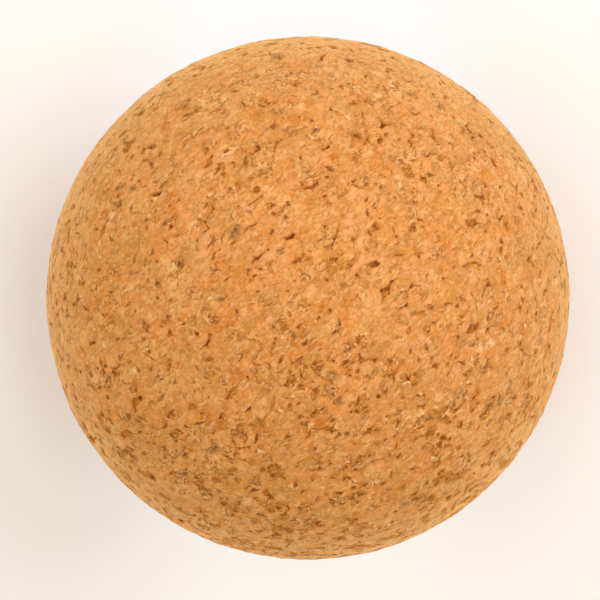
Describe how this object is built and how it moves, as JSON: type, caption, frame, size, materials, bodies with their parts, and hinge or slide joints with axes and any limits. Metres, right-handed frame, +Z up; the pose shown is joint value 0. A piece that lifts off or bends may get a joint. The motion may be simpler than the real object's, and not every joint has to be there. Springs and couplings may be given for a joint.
{
  "type": "foosball ball",
  "caption": "Solid table-football ball of agglomerated cork, ground round, with coarse granules bedded flush in its surface.",
  "frame": {"origin": "centre of the ball", "axes": "+Z up; the ball is round, so the other axes have no preferred direction"},
  "size_m": [0.035, 0.035, 0.035],
  "materials": {
    "cork_body": "agglomerated cork, ground, matt, orange tan",
    "bark_granule": "bark-side cork granule, ground, matt, dark brown",
    "olive_granule": "grey-green cork granule, ground, matt",
    "rust_granule": "red-brown cork granule, ground, matt",
    "pale_granule": "pale cork granule, ground, matt"
  },
  "bodies": {
    "root": {"cork_body": "cork_body", "bark_granule_01": "bark_granule", "bark_granule_02": "bark_granule", "bark_granule_03": "bark_granule", "bark_granule_04": "bark_granule", "bark_granule_05": "bark_granule", "bark_granule_06": "bark_granule", "bark_granule_07": "bark_granule", "bark_granule_08": "bark_granule", "bark_granule_09": "bark_granule", "bark_granule_10": "bark_granule", "bark_granule_11": "bark_granule", "bark_granule_12": "bark_granule", "bark_granule_13": "bark_granule", "bark_granule_14": "bark_granule", "bark_granule_15": "bark_granule", "bark_granule_16": "bark_granule", "olive_granule_01": "olive_granule", "olive_granule_02": "olive_granule", "olive_granule_03": "olive_granule", "olive_granule_04": "olive_granule", "olive_granule_05": "olive_granule", "olive_granule_06": "olive_granule", "olive_granule_07": "olive_granule", "olive_granule_08": "olive_granule", "olive_granule_09": "olive_granule", "olive_granule_10": "olive_granule", "olive_granule_11": "olive_granule", "olive_granule_12": "olive_granule", "rust_granule_01": "rust_granule", "rust_granule_02": "rust_granule", "rust_granule_03": "rust_granule", "rust_granule_04": "rust_granule", "rust_granule_05": "rust_granule", "rust_granule_06": "rust_granule", "rust_granule_07": "rust_granule", "rust_granule_08": "rust_granule", "pale_granule_01": "pale_granule", "pale_granule_02": "pale_granule", "pale_granule_03": "pale_granule", "pale_granule_04": "pale_granule", "pale_granule_05": "pale_granule", "pale_granule_06": "pale_granule", "pale_granule_07": "pale_granule", "pale_granule_08": "pale_granule"}
  },
  "joints": []
}
